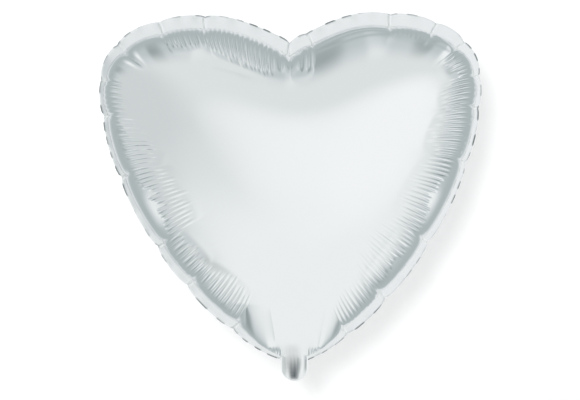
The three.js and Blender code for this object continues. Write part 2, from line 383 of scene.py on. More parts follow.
@dataclass
class Dome:
    """The smooth shape that a film takes when filled, before it gathers."""

    layout: Layout
    rise: float = CAD_BOUNDS[1][1] - 0.6 * MM
    tip_taper: float = 110 * MM
    power: float = 1.5
    neck_lift: float = 5.6 * MM
    neck_reach: float = 30 * MM  # height at which the arch over the neck has sunk into the dome
    greatest: float = field(init=False)

    def __post_init__(self) -> None:
        """Finds how full the dome is at its fullest."""
        crest = np.stack([np.zeros(80), np.linspace(90 * MM, 260 * MM, 80)], axis=1)
        self.greatest = self.fullness(crest, 4).max()

    def fullness(self, points: np.ndarray, every: int) -> np.ndarray:
        """A smooth stand-in for the distance to the weld, less in the tip.

        Args:
            points: X and Z of each point, one to a row.
            every: How many columns each straight piece of the weld spans.

        Returns:
            One value for each point.
        """
        start = self.layout.weld[::every]
        edge = np.roll(start, -1, axis=0) - start
        length = np.linalg.norm(edge, axis=1)
        along = edge / length[:, None]
        x = start[None, :, 0] - points[:, :1]
        z = start[None, :, 1] - points[:, 1:]
        near = x * along[None, :, 0] + z * along[None, :, 1]
        far = near + length[None]
        square = x * x + z * z
        off = np.maximum(square - near * near, 1e-12)
        spans = far / np.sqrt(far * far + off) - near / np.sqrt(near * near + off)
        total = (spans / off).sum(axis=1)
        return np.sqrt(2.0 / total) * np.tanh(np.maximum(points[:, 1], 0.0) / self.tip_taper)

    def height(self, points: np.ndarray, every: int = 4) -> np.ndarray:
        """How far the film stands off the weld plane.

        Args:
            points: X and Z of each point, one to a row.
            every: How many columns each straight piece of the weld spans.

        Returns:
            One height for each point.
        """
        share = np.clip(self.fullness(points, every) / self.greatest, 0.0, 1.0)
        swell = self.rise * np.sqrt(1.0 - (1.0 - share) ** self.power)
        across = np.clip(np.abs(points[:, 0]) / self.layout.opening_half, 0.0, 1.0)
        low = 1.0 - smoothstep(self.layout.neck_line, self.neck_reach, points[:, 1])
        arch = self.neck_lift * low * (1.0 - across ** 3)
        return np.sqrt(swell ** 2 + arch ** 2)


@dataclass
class Rows:
    """How a skin is divided along its columns, and where it drops to fewer of them.

    Lengths of film are in millimetres from the weld.
    """

    rim: tuple = (1.0, 0.95, 0.89, 0.80, 0.66, 0.50, 0.33, 0.18, 0.06)  # shares of the rim's width
    close: tuple = (0.0, 0.7, 1.6, 2.7, 4.0, 5.5, 7.2)
    step: float = 2.6
    creased_until: float = 92.0
    outer_until: float = 118.0
    outer: int = 6  # rows of halved columns
    inner: int = 15  # rows between those and the middle

    def creased(self) -> np.ndarray:
        """Length of film, in metres, from the weld to each row of full columns."""
        rest = np.arange(self.close[-1] + self.step, self.creased_until, self.step)
        return np.concatenate([self.close, rest]) * MM

    def beyond(self) -> np.ndarray:
        """Length of film, in metres, from the weld to each row of halved columns."""
        return np.linspace(self.creased()[-1], self.outer_until * MM, self.outer + 1)[1:]


@dataclass
class Swell:
    """Where every point of a film lies once it is filled and before it gathers; both films share it."""

    layout: Layout
    dome: Dome
    rows: Rows
    close_rows: int = 12  # rows whose height is looked up on the whole weld
    every: int = 8  # columns between those that the rows are spaced on
    trials: int = 130
    flat: np.ndarray = field(init=False)
    height: np.ndarray = field(init=False)
    film: np.ndarray = field(init=False)

    def __post_init__(self) -> None:
        """Spaces the rows evenly along the film and looks up their heights."""
        layout, rows = self.layout, self.rows
        thin = Layout(layout.edge)
        thin.weld = layout.weld[::self.every]
        thin.inward = layout.inward[::self.every]
        trial = np.linspace(0.0, 1.0, self.trials)[:, None] ** 2.3 * np.ones((1, len(thin.weld)))
        flat = thin.paths(trial)
        height = np.stack([self.dome.height(row) for row in flat])
        solid = np.concatenate([flat, height[..., None]], axis=2)
        film = np.cumsum(np.linalg.norm(np.diff(solid, axis=0), axis=2), axis=0)
        film = np.concatenate([np.zeros((1, film.shape[1])), film])
        near = np.concatenate([rows.creased(), rows.beyond()])
        left = np.linspace(0.0, 1.0, rows.inner + 2)[1:-1] ** 0.9
        shares = []
        for k in range(film.shape[1]):
            wanted = np.concatenate([near, near[-1] + (film[-1, k] - near[-1]) * left])
            shares.append(np.interp(wanted, film[:, k], trial[:, k]))
        coarse = np.arange(0, layout.columns + 1, self.every)
        closed = np.stack([*shares, shares[0]], axis=1)
        every_column = np.arange(layout.columns)
        self.flat = layout.paths(np.stack([np.interp(every_column, coarse, row) for row in closed]))
        self.height = np.stack([
            self.dome.height(row, 1 if k < self.close_rows else 4) for k, row in enumerate(self.flat)
        ])
        self.height[0, ~layout.on_tail] = 0.0
        self.film = np.concatenate([near, np.full(rows.inner, 1.0)])[:, None]


@dataclass
class Creases:
    """Everything that a film does besides swelling: pinches, teeth, streaks, folds and soft dents."""

    layout: Layout
    face: Face
    film: np.ndarray  # length of film from the weld to each row, as a column of rows
    spacing: float = 5.2 * MM
    uneven: float = 0.17  # how far a crease strays from its even place, as a share of the spacing
    onset: float = 5 * MM  # length of film over which a tooth rises
    ending: float = 11 * MM  # length of film over which it runs out
    foot: float = 0.35  # how far a tooth's edges sink, as a share of its depth
    pinch_width: float = 4.0 * MM
    pinch_spread: float = 0.07  # growth of that width for each length of film
    beside_pinch: tuple = (-7, -3, 0, 4, 8)  # columns from a pinch to the creases pressed at it
    crease_width: float = 0.9 * MM
    bulge: float = 0.8 * MM
    dent: float = 0.35 * MM
    dent_waves: int = 9
    groove_places: tuple = (16 * MM, 26 * MM, 38 * MM)  # length of film from the weld to each groove
    groove_width: float = 2.6 * MM
    ledge_width: float = 5 * MM
    neck_depth: float = 1.1 * MM
    neck_creases: tuple = ((2.5 * MM, 17 * MM), (5.5 * MM, 14 * MM), (9 * MM, 12 * MM), (13 * MM, 9 * MM))
    random: np.random.Generator = field(init=False)
    pitch: float = field(init=False)

    def __post_init__(self) -> None:
        """Sets up this film's own random order."""
        self.random = np.random.default_rng(11 if self.face is Face.FRONT else 29)
        self.pitch = self.layout.run_length / np.count_nonzero(~self.layout.on_tail)

    def unmoved(self) -> np.ndarray:
        """Gives a displacement of 0 for each row and column."""
        return np.zeros((len(self.film), self.layout.columns))

    def spans(self) -> Iterator[tuple]:
        """Goes over the stretches.

        Yields:
            Each stretch, the run where it begins, and each column's bow, from 0 at its ends to 1 midway.
        """
        begin = 0.0
        for stretch in STRETCHES:
            share = np.clip((self.layout.run[None] - begin) / (stretch.until - begin), 0.0, 1.0)
            yield stretch, begin, 4.0 * share * (1.0 - share)
            begin = stretch.until

    def pinches(self) -> np.ndarray:
        """Draws valleys at the pinches, with the film full between them.

        Returns:
            Displacement along the film's normal, rows by columns.
        """
        moved = self.unmoved()
        width = self.pinch_width + self.pinch_spread * self.film
        for stretch, _, bow in self.spans():
            fade = 1.0 - smoothstep(0.1, 1.0, self.film / stretch.reach)
            moved -= stretch.pinch * np.exp(-np.abs(self.layout.run[None] - stretch.until) / width) * fade
            moved += self.bulge * bow * (1.0 - smoothstep(10 * MM, 70 * MM, self.film))
        return moved

    def teeth(self) -> np.ndarray:
        """Raises ridges along the columns, with a sharp crease between each and the next.

        Returns:
            Displacement along the film's normal, rows by columns.
        """
        moved = self.unmoved()
        for stretch, begin, _ in self.spans():
            wide = stretch.until - begin
            if stretch.gather in (Gather.TEETH, Gather.COMB):
                count = max(3, round(wide / self.spacing))
                stray = self.random.uniform(-self.uneven, self.uneven, count + 1)
                shares = (np.arange(count + 1) + stray) / count
                shares[0], shares[-1] = 0.0, 1.0
                places = np.round((begin + shares * wide) / self.pitch).astype(int)
                for low, high in zip(places[:-1], places[1:]):
                    arch = 1.0 - abs((low + high) * self.pitch - begin - stretch.until) / wide
                    start = stretch.start * (0.5 + 0.5 * arch ** 0.5) * self.random.uniform(0.85, 1.15)
                    stop = stretch.stop * (0.84 + 0.16 * arch ** 0.5) * self.random.uniform(0.92, 1.08)
                    depth = stretch.depth * self.random.uniform(0.7, 1.2)
                    moved[:, low:high] += self.tooth(high - low, depth, start, stop)
            self.fold_pinch(moved, stretch)
        return moved

    def tooth(self, columns: int, depth: float, start: float, stop: float) -> np.ndarray:
        """Shapes one rounded ridge between two creases.

        Args:
            columns: How many columns the ridge spans.
            depth: How high the ridge stands.
            start: Length of film from the weld at which it starts.
            stop: Length of film from the weld at which it ends.

        Returns:
            Displacement along the film's normal, rows by the ridge's columns.
        """
        along = np.linspace(0.0, 1.0, columns + 1)[None]
        rise = smoothstep(start - 1 * MM, start + self.onset, self.film)
        fall = 1.0 - smoothstep(stop - self.ending, stop, self.film)
        shape = 4.0 * along * (1.0 - along) - self.foot
        return (depth * rise * fall * shape)[:, :-1]

    def fold_pinch(self, moved: np.ndarray, stretch: Stretch) -> None:
        """Presses a few short creases beside a pinch, and its own longer one.

        Args:
            moved: Displacements that the creases are added to, rows by columns.
            stretch: The stretch that the pinch ends.
        """
        for offset in self.beside_pinch:
            place = round(stretch.until / self.pitch) + offset
            columns = np.arange(max(place - 6, 0), min(place + 7, np.count_nonzero(~self.layout.on_tail)))
            length = stretch.reach * (1.0 if offset == 0 else self.random.uniform(0.3, 0.6))
            depth = (0.9 if offset == 0 else 0.65) * MM * self.random.uniform(0.7, 1.1)
            fade = smoothstep(0.5 * MM, 5 * MM, self.film)
            fade = fade * (1.0 - smoothstep(0.3 * length, length, self.film))
            across = np.abs(columns - place)[None] * self.pitch
            moved[:, columns] -= depth * fade * np.exp(-across / self.crease_width)

    def streaks(self) -> np.ndarray:
        """Draws soft grooves along the weld, and the ledge on which the teeth end.

        Returns:
            Displacement along the film's normal, rows by columns.
        """
        moved = self.unmoved()
        for stretch, _, bow in self.spans():
            window = np.sqrt(bow)
            if stretch.gather is Gather.STREAKS:
                for k, centre in enumerate(self.groove_places):
                    wave = centre + 1.4 * MM * np.sin(self.layout.run[None] * 55.0 + 2.0 * k)
                    groove = np.exp(-((self.film - wave) / self.groove_width) ** 2)
                    moved -= stretch.depth * window * groove
            elif stretch.gather is not Gather.PLAIN:
                ledge = stretch.stop * (0.9 + 0.12 * window) + 2 * MM
                moved += 0.5 * stretch.depth * window * np.exp(-((self.film - ledge) / self.ledge_width) ** 2)
        return moved

    def folds(self, points: np.ndarray) -> np.ndarray:
        """Lays shallow folds across the front film.

        Args:
            points: X and Z of each point, rows by columns by two.

        Returns:
            Displacement along the film's normal, rows by columns.
        """
        moved = self.unmoved()
        for fold in SOFT_FOLDS if self.face is Face.FRONT else ():
            start = np.array(fold.start)
            along = np.array(fold.end) - start
            share = ((points - start) @ along) / (along @ along)
            nearest = start + np.clip(share, 0.0, 1.0)[..., None] * along
            away = np.linalg.norm(points - nearest, axis=2)
            ends = smoothstep(-0.15, 0.2, share) * (1.0 - smoothstep(0.8, 1.15, share))
            moved -= fold.depth * np.exp(-away / fold.width) * ends
        return moved

    def neck_folds(self) -> np.ndarray:
        """Presses short sharp creases in the corners beside the neck.

        Returns:
            Displacement along the film's normal, rows by columns.
        """
        moved = self.unmoved()
        for place, length in self.neck_creases:
            fade = smoothstep(0.0, 3 * MM, self.film) * (1.0 - smoothstep(0.4 * length, length, self.film))
            across = np.abs(self.layout.from_neck - place)
            moved -= self.neck_depth * fade * np.exp(-across / self.crease_width)
        return moved * ~self.layout.on_tail

    def dents(self, points: np.ndarray) -> np.ndarray:
        """Makes the whole film swell a little unevenly.

        Args:
            points: X and Z of each point, rows by columns by two.

        Returns:
            Displacement along the film's normal, rows by columns.
        """
        moved = self.unmoved()
        for _ in range(self.dent_waves):
            angle = self.random.uniform(0.0, math.pi)
            length = self.random.uniform(75 * MM, 150 * MM)
            phase = self.random.uniform(0.0, 2.0 * math.pi)
            across = points[..., 0] * math.cos(angle) + points[..., 1] * math.sin(angle)
            moved += np.sin(2.0 * math.pi * across / length + phase) * self.dent / 3.0
        return moved


@dataclass
class Rim:
    """The two films' rims, sealed together outside the weld: how they curl, flutter and pleat."""

    layout: Layout
    rows: Rows
    curl_at_sides: float = math.radians(10)
    flutter: float = 0.35 * MM
    pleat: float = 0.9 * MM
    lip_width: float = 1.25 * MM
    lip_curl: float = 2.4 * MM
    lip_gap: float = 0.3 * MM
    scallop: float = 0.6 * MM
    pleat_width: float = 1.3 * MM
    wavelengths: tuple = (21 * MM, 34 * MM)
    dash_length: float = 19 * MM

    def lift(self, share: float) -> np.ndarray:
        """How far the middle of the seam stands off the weld plane, towards the back.

        Args:
            share: Share of the rim's width out from the weld.

        Returns:
            One height for each column.
        """
        layout = self.layout
        run = layout.run
        reach = np.linalg.norm(layout.cut - layout.weld, axis=1)
        flat = np.clip(np.abs(layout.inward[:, 1]), 0.0, 1.0)
        curl = self.curl_at_sides * (1.0 - smoothstep(0.25, 0.85, flat))
        short, long = self.wavelengths
        wave = 0.7 * np.sin(2.0 * math.pi * run / short + 1.5 * np.sin(run * 37.0))
        wave = wave + 0.5 * np.sin(2.0 * math.pi * run / long + 1.0)
        lift = reach * share * np.sin(curl) + self.flutter * share ** 1.4 * wave
        for stretch in STRETCHES:
            place = stretch.until + 1.2 * MM * math.sin(share * 2.0 + stretch.until * 900.0)
            away = np.abs(run - place) / self.pleat_width
            lift = lift - self.pleat * min(1.0, 5.0 * share) * np.maximum(1.0 - away, 0.0)
        return lift + self.lip_curl * self.lip_share(share) ** 1.3 * self.dashes()

    def dashes(self) -> np.ndarray:
        """Picks out where along the cut edge the lips of the two films part.

        Returns:
            A share for each column, from 0 where they meet to 1 where they part fully.
        """
        run = self.layout.run
        waves = np.sin(2.0 * math.pi * run / self.dash_length + 2.2 * np.sin(run * 51.0))
        strength = 0.56 + 0.36 * np.sin(run * 23.0 + 0.8) + 0.36 * np.sin(run * 83.0 + 2.0)
        starts = 0.35 * np.sin(run * 131.0)
        return smoothstep(starts - 0.3, starts + 0.3, waves) * np.clip(strength, 0.0, 1.0)

    def lip_share(self, share: float) -> np.ndarray:
        """How far into the curled lip each column is, from 0 at its root to 1 at the cut edge."""
        reach = np.linalg.norm(self.layout.cut - self.layout.weld, axis=1)
        return np.clip((share - 1.0) * reach / self.lip_width + 1.0, 0.0, 1.0)

    def points(self, weld_row: np.ndarray, side: float, gap: float) -> np.ndarray:
        """Rows from the cut edge towards the weld.

        Args:
            weld_row: Points along the weld, once the pinches have drawn it in.
            side: Direction along Y in which the film lies off the seam's middle.
            gap: How far off the middle it lies.

        Returns:
            Points, rows by columns by three.
        """
        layout = self.layout
        outward = layout.cut - layout.weld
        rows = []
        for share in self.rows.rim:
            lip = self.lip_gap * self.lip_share(share) if gap else 0.0
            out = self.scallop * self.lip_share(share) * self.dashes()
            row = np.empty((layout.columns, 3))
            row[:, 0] = weld_row[:, 0] + outward[:, 0] * share - layout.inward[:, 0] * out
            row[:, 2] = weld_row[:, 2] + outward[:, 1] * share - layout.inward[:, 1] * out
            row[:, 1] = self.lift(share) + side * (gap + lip)
            rows.append(row)
        return np.stack(rows)


@dataclass
class FilmShape:
    """The finished shape of one skin, as rows of points from the cut edge to the middle."""

    swell: Swell
    face: Face
    film_gap: float = 0.16 * MM
    tail_gap: float = 0.36 * MM
    trough_depth: float = 4.0 * MM
    trough_place: float = -1.1 * MM
    trough_width: float = 6.2 * MM

    def trough(self, x: np.ndarray, z: np.ndarray) -> np.ndarray:
        """How deep the front film sinks between its rolled edges, in the tail and just over the neck.

        Args:
            x: X of each point.
            z: Z of each point.

        Returns:
            One depth for each point.
        """
        share = smoothstep(-21 * MM, -17 * MM, z) * (1.0 - smoothstep(-6 * MM, 20 * MM, z))
        width = self.trough_width * (0.62 + 0.62 * smoothstep(-19 * MM, 0.0, z))
        place = self.trough_place - 0.03 * (z + 18 * MM)
        pleats = 1.0 + 0.05 * np.sin((x - place) / (0.55 * MM))
        return self.trough_depth * share * np.exp(-np.abs((x - place) / width) ** 3) * pleats

    def tail_rows(self) -> np.ndarray:
        """Rows of the tail, from its cut edge up to the neck.

        Returns:
            Points, rows by columns by three.
        """
        layout, dome = self.swell.layout, self.swell.dome
        cut, neck = layout.cut[layout.on_tail], layout.weld[layout.on_tail]
        share = np.array(self.swell.rows.rim)[:, None, None]
        flat = neck[None] + (cut - neck)[None] * share
        x, z = flat[..., 0], flat[..., 1]
        across = np.clip(np.abs(x) / layout.opening_half, 0.0, 1.0)
        lift = dome.neck_lift * (1.0 - across ** 3) * (1.0 - share[..., 0] ** 4)
        gap = self.film_gap + (self.tail_gap - self.film_gap) * smoothstep(0.0, 0.2, share[..., 0])
        y = self.face.value * (gap + lift)
        if self.face is Face.FRONT:
            y = np.minimum(y + self.trough(x, z), -gap)
        return np.stack([x, y, z], axis=2)

    def build(self) -> tuple:
        """Works out every row of the skin.

        Returns:
            The rows, a list of arrays of points that get coarser inwards, and the middle point.
        """
        swell, side = self.swell, self.face.value
        layout, rows, film = swell.layout, swell.rows, swell.film
        flat = swell.flat
        points = np.stack([flat[..., 0], side * (swell.height + self.film_gap), flat[..., 1]], axis=2)
        around = np.roll(points, -1, axis=1) - np.roll(points, 1, axis=1)
        normal = np.cross(around, np.gradient(points, axis=0)) * -side
        normal[0, :, 0::2] = -layout.inward
        normal[0, :, 1] = 0.0
        normal /= np.maximum(np.linalg.norm(normal, axis=2, keepdims=True), 1e-12)
        creases = Creases(layout, self.face, film)
        moved = creases.pinches() + (creases.teeth() + creases.streaks()) * smoothstep(0.0, 3 * MM, film)
        moved = moved * smoothstep(0.0, 10 * MM, layout.from_neck) * ~layout.on_tail
        moved += creases.neck_folds()
        moved += creases.dents(flat) * smoothstep(8 * MM, 60 * MM, film)
        moved += creases.folds(flat) * smoothstep(3 * MM, 12 * MM, film)
        points = points + normal * moved[..., None]
        if self.face is Face.FRONT:
            points[..., 1] += self.trough(points[..., 0], points[..., 2])
        rim = Rim(layout, rows).points(points[0], side, self.film_gap)
        rim[:, layout.on_tail] = self.tail_rows()
        creased = len(rows.creased())
        beyond = creased + rows.outer
        half = beyond + rows.inner // 2
        result = list(rim) + list(points[:creased])
        result += [row[::2] for row in points[creased:beyond]]
        result += [row[::4] for row in points[beyond:half]] + [row[::8] for row in points[half:]]
        middle = result[-1].mean(axis=0)
        middle[1] += side * (self.middle_height() - float(swell.height[-1].mean()))
        return result, middle

    def middle_height(self) -> float:
        """Height of the smooth dome where the columns meet."""
        return float(self.swell.dome.height(np.array([self.swell.layout.middle]))[0])


def faces_between(rows: list, middle: bool) -> list:
    """Faces of a skin whose rows keep or halve their number of points inwards.

    Args:
        rows: Arrays of points, from the cut edge inwards.
        middle: Whether one last point closes the innermost row.

    Returns:
        Tuples of point numbers, which turn the front film's faces towards -Y.
    """
    faces = []
    start = 0
    for row, after in zip(rows[:-1], rows[1:]):
        count, fewer = len(row), len(after)
        here, there = start, start + count
        if count == fewer:
            i = np.arange(count)
            j = (i + 1) % count
            faces += np.stack([here + i, here + j, there + j, there + i], axis=1).tolist()
        else:
            k = np.arange(fewer)
            first, second, third = 2 * k, 2 * k + 1, (2 * k + 2) % count
            after_k = (k + 1) % fewer
            faces += np.stack([here + first, here + second, there + k], axis=1).tolist()
            faces += np.stack([here + second, there + after_k, there + k], axis=1).tolist()
            faces += np.stack([here + second, here + third, there + after_k], axis=1).tolist()
        start = there
    if middle:
        count = len(rows[-1])
        i = np.arange(count)
        last = np.full(count, start + count)
        faces += np.stack([start + i, start + (i + 1) % count, last], axis=1).tolist()
    return faces


def new_piece(name: str, points: np.ndarray, faces: list) -> bpy.types.Object:
    """Makes a smooth-shaded piece at the origin.

    Args:
        name: Name of the piece.
        points: Its points, one to a row.
        faces: Its faces, as lists of point numbers.

    Returns:
        The new object.
    """
    mesh = bpy.data.meshes.new(name)
    mesh.from_pydata(points.tolist(), [], faces)
    mesh.validate()
    mesh.shade_smooth()
    piece = bpy.data.objects.new(name, mesh)
    bpy.context.scene.collection.objects.link(piece)
    return piece


class NodeBuilder:
    """Adds and joins shader nodes in one node tree."""

    def __init__(self, tree: bpy.types.NodeTree) -> None:
        """Keeps the tree that nodes are added to, and empties it."""
        self.tree = tree
        tree.nodes.clear()

    def add(self, kind: str, inputs: dict | None = None, **settings) -> bpy.types.Node:
        """Adds a node.

        Args:
            kind: The node's type name.
            inputs: Values or sockets for its inputs, by name or number.
            **settings: Properties of the node.

        Returns:
            The new node.
        """
        node = self.tree.nodes.new(kind)
        for key, value in settings.items():
            setattr(node, key, value)
        for key, value in (inputs or {}).items():
            if isinstance(value, bpy.types.NodeSocket):
                self.tree.links.new(value, node.inputs[key])
            else:
                node.inputs[key].default_value = value
        return node

    def mix(self, mask: object, below: object, above: object) -> bpy.types.NodeSocket:
        """Lays one colour over another through a mask; each is a value or a socket."""
        return self.add("ShaderNodeMix", {0: mask, 6: below, 7: above}, data_type="RGBA").outputs[2]

    def math(self, operation: str, *values: object) -> bpy.types.NodeSocket:
        """Works on one or two numbers, each a value or a socket."""
        return self.add("ShaderNodeMath", dict(enumerate(values)), operation=operation).outputs[0]

    def ramp(self, value: bpy.types.NodeSocket, low: float, high: float) -> bpy.types.NodeSocket:
        """Turns a number into a share that rises smoothly from 0 at low to 1 at high."""
        given = {"Value": value, "From Min": low, "From Max": high}
        return self.add("ShaderNodeMapRange", given, interpolation_type="SMOOTHSTEP").outputs["Result"]


def film_grain_group() -> bpy.types.NodeTree:
    """Builds the group that gives film its faint orange peel and cloudy sheen.

    Returns:
        The node group, with a height and a mottle that vary over the surface.
    """
    group = bpy.data.node_groups.new("film_grain", "ShaderNodeTree")
    for way, names in (("INPUT", GRAIN_INPUTS), ("OUTPUT", ("Height", "Mottle"))):
        for name in names:
            group.interface.new_socket(name, in_out=way, socket_type="NodeSocketFloat")
    build = NodeBuilder(group)
    given = build.add("NodeGroupInput")
    place = build.add("ShaderNodeTexCoord").outputs["Object"]
    look = {"Vector": place, "Detail": 2.0, "Roughness": 0.5}
    peel = build.add("ShaderNodeTexNoise", {**look, "Scale": given.outputs["Peel Scale"]})
    look = {"Vector": place, "Detail": 4.0, "Roughness": 0.6}
    cloud = build.add("ShaderNodeTexNoise", {**look, "Scale": given.outputs["Cloud Scale"]})
    build.add("NodeGroupOutput", {"Height": peel.outputs["Fac"], "Mottle": cloud.outputs["Fac"]})
    return group


@dataclass(frozen=True)
class FilmFinish:
    """What the finishes of all films share: a name, and a grain that each of them scales."""

    name: str

    def start(self, grain: bpy.types.NodeTree, scales: tuple, strength: float, height: float) -> tuple:
        """Makes a material that so far holds only the film's grain.

        Args:
            grain: The shared film grain group.
            scales: Scale of the grain's peel and of its clouds.
            strength: Strength of the peel as a bump.
            height: Height of the peel as a bump.

        Returns:
            The material, its node builder, the grain's mottle and the bumped normal.
        """
        material = bpy.data.materials.new(self.name)
        material.use_nodes = True
        build = NodeBuilder(material.node_tree)
        grains = build.add("ShaderNodeGroup", dict(zip(GRAIN_INPUTS, scales)), node_tree=grain)
        peel = {"Height": grains.outputs["Height"], "Strength": strength, "Distance": height}
        bump = build.add("ShaderNodeBump", peel)
        return material, build, grains.outputs["Mottle"], bump.outputs["Normal"]

    def surface(self, build: NodeBuilder, **look: object) -> None:
        """Ends the material with its shader.

        Args:
            build: The material's node builder.
            **look: Values or sockets for the shader's inputs, named with _ for a space.
        """
        inputs = {name.replace("_", " "): value for name, value in look.items()}
        shader = build.add("ShaderNodeBsdfPrincipled", inputs)
        build.add("ShaderNodeOutputMaterial", {"Surface": shader.outputs["BSDF"]})


@dataclass(frozen=True)
class FoilFinish(FilmFinish):
    """Bright metallised film, duller where it is sealed, with painted shade where it folds in on itself: at
    the parted lips and in the tail's trough.
    """

    colour: tuple = (0.892, 0.905, 0.905, 1.0)
    dull_colour: tuple = (0.835, 0.855, 0.86, 1.0)
    # colour of the painted shade at the parted lips and in the tail's trough
    painted_shade_colour: tuple = (0.09, 0.11, 0.115, 1.0)
    gloss: float = 0.10  # roughness of the smoothest free film
    dull: float = 0.24  # roughness of sealed film
    peel: float = 0.03

    def material(self, grain: bpy.types.NodeTree) -> bpy.types.Material:
        """Builds the material.

        Args:
            grain: The shared film grain group.

        Returns:
            The material.
        """
        material, build, mottle, normal = self.start(grain, (420.0, 26.0), self.peel, 0.4 * MM)
        sealed = build.add("ShaderNodeAttribute", attribute_name="sealed").outputs["Fac"]
        painted_shade_mask = build.add("ShaderNodeAttribute", attribute_name="shade").outputs["Fac"]
        gloss = {"Value": mottle, "From Min": 0.3, "From Max": 0.7}
        gloss |= {"To Min": self.gloss, "To Max": self.gloss + 0.05}
        rough = build.add("ShaderNodeMapRange", gloss).outputs["Result"]
        rough = build.add("ShaderNodeMix", {0: sealed, 2: rough, 3: self.dull}, data_type="FLOAT").outputs[0]
        tint = build.mix(sealed, self.colour, self.dull_colour)
        # painted shade: darkens the foil wherever the shade attribute is set
        tint = build.mix(painted_shade_mask, tint, self.painted_shade_colour)
        self.surface(build, Base_Color=tint, Metallic=1.0, Roughness=rough, Normal=normal)
        return material


@dataclass(frozen=True)
class ClearFilmFinish(FilmFinish):
    """Milky clear film of the valve, and the printed coat inside it."""

    colour: tuple = (0.86, 0.89, 0.92, 1.0)
    roughness: float = 0.32
    alpha: float = 0.6

    def material(self, grain: bpy.types.NodeTree) -> bpy.types.Material:
        """Builds the material.

        Args:
            grain: The shared film grain group.

        Returns:
            The material.
        """
        material, build, mottle, normal = self.start(grain, (300.0, 90.0), 0.15, 0.2 * MM)
        deeper = tuple(0.9 * part for part in self.colour[:3]) + (1.0,)
        tint = build.mix(mottle, deeper, self.colour)
        self.surface(build, Base_Color=tint, Roughness=self.roughness, Alpha=self.alpha, Normal=normal)
        return material


class FilmPiece:
    """What the new pieces share: each of them starts without a finish."""

    def dress(self, piece: bpy.types.Object, finish: bpy.types.Material) -> None:
        """Gives the piece its finish."""
        piece.data.materials.append(finish)


@dataclass
class FoilSkin(FilmPiece):
    """One film of the balloon: its dome, rim and tail ply in a single sheet."""

    swell: Swell
    face: Face
    flat_width: float = 457 * MM
    flat_length: float = 440 * MM
    flat_area: float = 0.133

    @property
    def name(self) -> str:
        """Name of the piece."""
        return "front_foil_skin" if self.face is Face.FRONT else "back_foil_skin"

    def build(self) -> bpy.types.Object:
        """Builds the sheet and marks where it is sealed and where shade is painted on it.

        Returns:
            The new sheet.
        """
        rows, middle = FilmShape(self.swell, self.face).build()
        points = np.concatenate([*rows, middle[None]])
        faces = faces_between(rows, middle=True)
        if self.face is Face.BACK:
            faces = [face[::-1] for face in faces]
        skin = new_piece(self.name, points, faces)
        sealed = np.zeros(len(points), np.float32)
        on_rim = np.tile(~self.swell.layout.on_tail, len(self.swell.rows.rim))
        sealed[:len(on_rim)] = on_rim
        skin.data.attributes.new("sealed", "FLOAT", "POINT").data.foreach_set("value", sealed)
        skin.data.attributes.new("shade", "FLOAT", "POINT").data.foreach_set("value", self.shade(points))
        return skin

    def shade(self, points: np.ndarray) -> np.ndarray:
        """Painted shade: how far the film's colour is darkened where its lips part and in the trough of the
        tail, more towards the tail's bottom.

        Args:
            points: The skin's points, from the cut edge inwards.

        Returns:
            One value for each point, from 0 to 1.
        """
        layout, rows = self.swell.layout, self.swell.rows
        rim = Rim(layout, rows)
        shade = np.zeros(len(points), np.float32)
        # painted shade in the gap where the lips of the two films part
        lips = [rim.lip_share(share) * rim.dashes() * ~layout.on_tail for share in rows.rim]
        shade[:len(lips) * layout.columns] = np.concatenate(lips)
        if self.face is Face.FRONT:
            shape = FilmShape(self.swell, self.face)
            deep = shape.trough(points[:, 0], points[:, 2]) / shape.trough_depth
            # painted shade in the tail's trough, darker towards the tail's bottom
            shade = np.maximum(shade, deep * (0.92 - 0.52 * smoothstep(-17 * MM, 8 * MM, points[:, 2])))
        return shade.astype(np.float32)

    def attach(self, skin: bpy.types.Object) -> None:
        """Puts the sheet in place of its panel and tail ply.

        Args:
            skin: The sheet.
        """
        word = "front" if self.face is Face.FRONT else "back"
        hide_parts(f"{word}_panel", f"tail_{word}_ply")
        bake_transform(skin)


@dataclass
class SeamBand(FilmPiece):
    """The fused band between the two rims, which follows their flutter and curl."""

    swell: Swell
    half_thickness: float = 0.10 * MM
    every: int = 2  # columns from one of its sections to the next

    def build(self) -> bpy.types.Object:
        """Builds the band as a thin closed strip, from one side of the neck to the other.

        Returns:
            The new band.
        """
        layout = self.swell.layout
        away = smoothstep(0.0, 10 * MM, layout.from_neck) * ~layout.on_tail
        moved = Creases(layout, Face.FRONT, np.zeros((1, 1))).pinches()[0] * away
        flat = layout.weld - layout.inward * moved[:, None]
        weld_row = np.stack([flat[:, 0], np.zeros(len(flat)), flat[:, 1]], axis=1)
        rim = Rim(layout, self.swell.rows).points(weld_row, 0.0, 0.0)
        heart = np.flatnonzero(~layout.on_tail)[::self.every]
        centre = np.concatenate([rim[1:], weld_row[None]])[:, heart]
        front = centre - [0.0, self.half_thickness, 0.0]
        back = centre + [0.0, self.half_thickness, 0.0]
        rings = np.concatenate([front, back[::-1]])
        size, count = rings.shape[:2]
        points = rings.transpose(1, 0, 2).reshape(-1, 3)
        faces = []
        for i in range(count - 1):
            for k in range(size):
                j = (k + 1) % size
                faces.append((i * size + k, i * size + j, (i + 1) * size + j, (i + 1) * size + k))
        faces.append(tuple(range(size))[::-1])
        faces.append(tuple((count - 1) * size + k for k in range(size)))
        return new_piece("seam_band", points, faces)

    def attach(self, band: bpy.types.Object) -> None:
        """Puts the band in place of the frame's flat one.

        Args:
            band: The band.
        """
        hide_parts("seam_weld")
        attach(band, "envelope")


@dataclass
class Inside:
    """The frame's own small pieces: tail welds and valve sleeve, which keep their shapes."""

    nodes: dict

    def dress(self, node: str, material: bpy.types.Material) -> None:
        """Gives one of the frame's nodes its finish.

        Args:
            node: The node's name.
            material: The finish.
        """
        piece = self.nodes[node]
        piece.data.materials.clear()
        piece.data.materials.append(material)
        LOG.info("%s: dressed", node)


